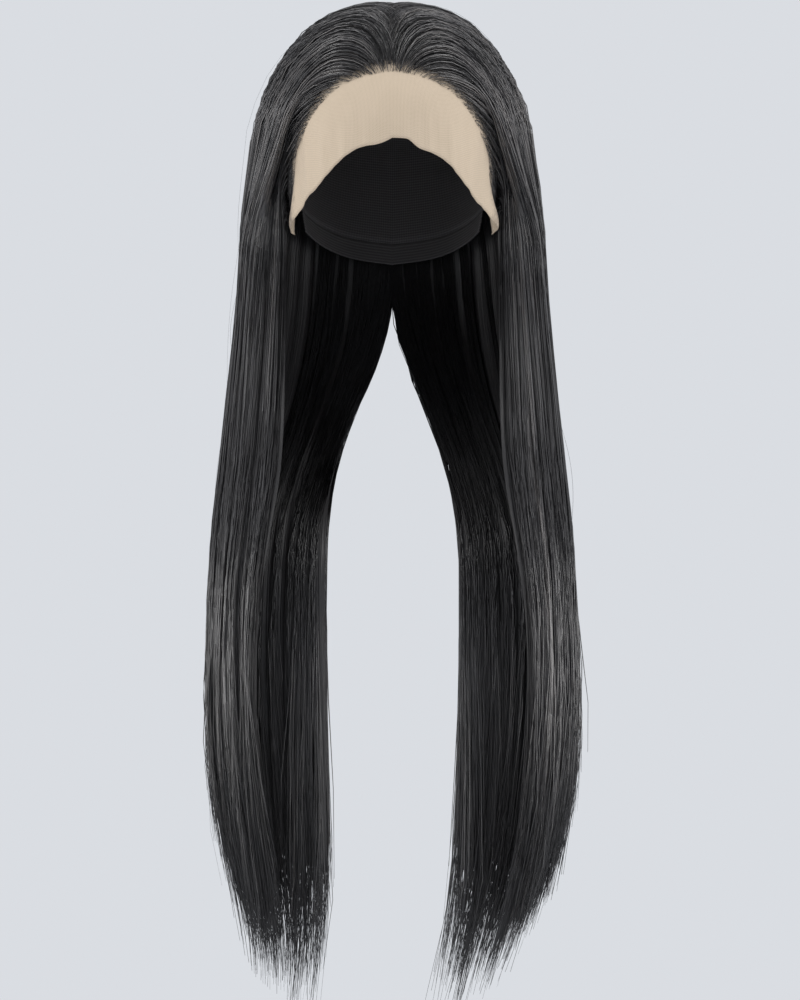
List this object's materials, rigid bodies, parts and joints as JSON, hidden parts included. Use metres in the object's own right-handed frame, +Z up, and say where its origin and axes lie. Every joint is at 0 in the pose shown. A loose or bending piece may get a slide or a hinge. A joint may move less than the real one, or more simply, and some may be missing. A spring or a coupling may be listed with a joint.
{
  "type": "lace front wig",
  "caption": "Long straight wig on a net cap with a sheer lace front, its hair swept back from the forehead and brought forward over both shoulders.",
  "frame": {"origin": "inside of the cap at the top of the head, where the wig sits on a head", "axes": "+Z up, -Y the way the face looks, +X at the viewer's right from the front"},
  "size_m": [0.266, 0.2208, 0.7196],
  "materials": {
    "hair": "straight brown-black fibre, satin",
    "lace": "sheer skin-coloured tulle",
    "cap_net": "black stretch net",
    "elastic": "black woven elastic"
  },
  "bodies": {
    "root": {"lace_front": "lace", "cap": "cap_net", "nape_band": "elastic", "hair_front_left": "hair", "hair_front_right": "hair", "hair_side_left": "hair", "hair_side_right": "hair", "hair_back_left": "hair", "hair_back_right": "hair"}
  },
  "joints": []
}
